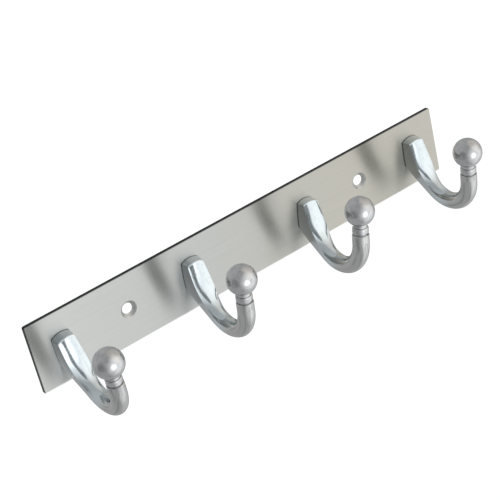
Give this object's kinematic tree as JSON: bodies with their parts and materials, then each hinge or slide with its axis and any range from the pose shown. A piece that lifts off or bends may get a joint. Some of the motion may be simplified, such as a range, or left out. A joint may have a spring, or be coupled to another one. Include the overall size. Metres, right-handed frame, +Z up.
{
  "type": "wall hook rack",
  "caption": "Flat steel wall bar with a row of J-shaped coat hooks, each ending in a ball finial, and countersunk wall-screw holes.",
  "frame": {"origin": "centre of the bar's flat back face, where it meets the wall", "axes": "+X along the bar, +Z up the wall, +Y into the wall; the hooks reach out towards -Y"},
  "size_m": [0.273, 0.0588, 0.0508],
  "materials": {
    "brushed_plate": "fine brushed steel, slightly warm grey, edges sheared",
    "hook_chrome": "bright chrome plate on a casting, slightly cool",
    "satin_chrome": "chrome plate on turned parts, slightly satin",
    "zinc_screw": "bright zinc plated screw"
  },
  "bodies": {
    "root": {"back_plate": "brushed_plate", "hook_arm_1": "hook_chrome", "finial_collar_1": "satin_chrome", "ball_finial_1": "satin_chrome", "hook_screw_1": "zinc_screw", "hook_arm_2": "hook_chrome", "finial_collar_2": "satin_chrome", "ball_finial_2": "satin_chrome", "hook_screw_2": "zinc_screw", "hook_arm_3": "hook_chrome", "finial_collar_3": "satin_chrome", "ball_finial_3": "satin_chrome", "hook_screw_3": "zinc_screw", "hook_arm_4": "hook_chrome", "finial_collar_4": "satin_chrome", "ball_finial_4": "satin_chrome", "hook_screw_4": "zinc_screw"}
  },
  "joints": []
}
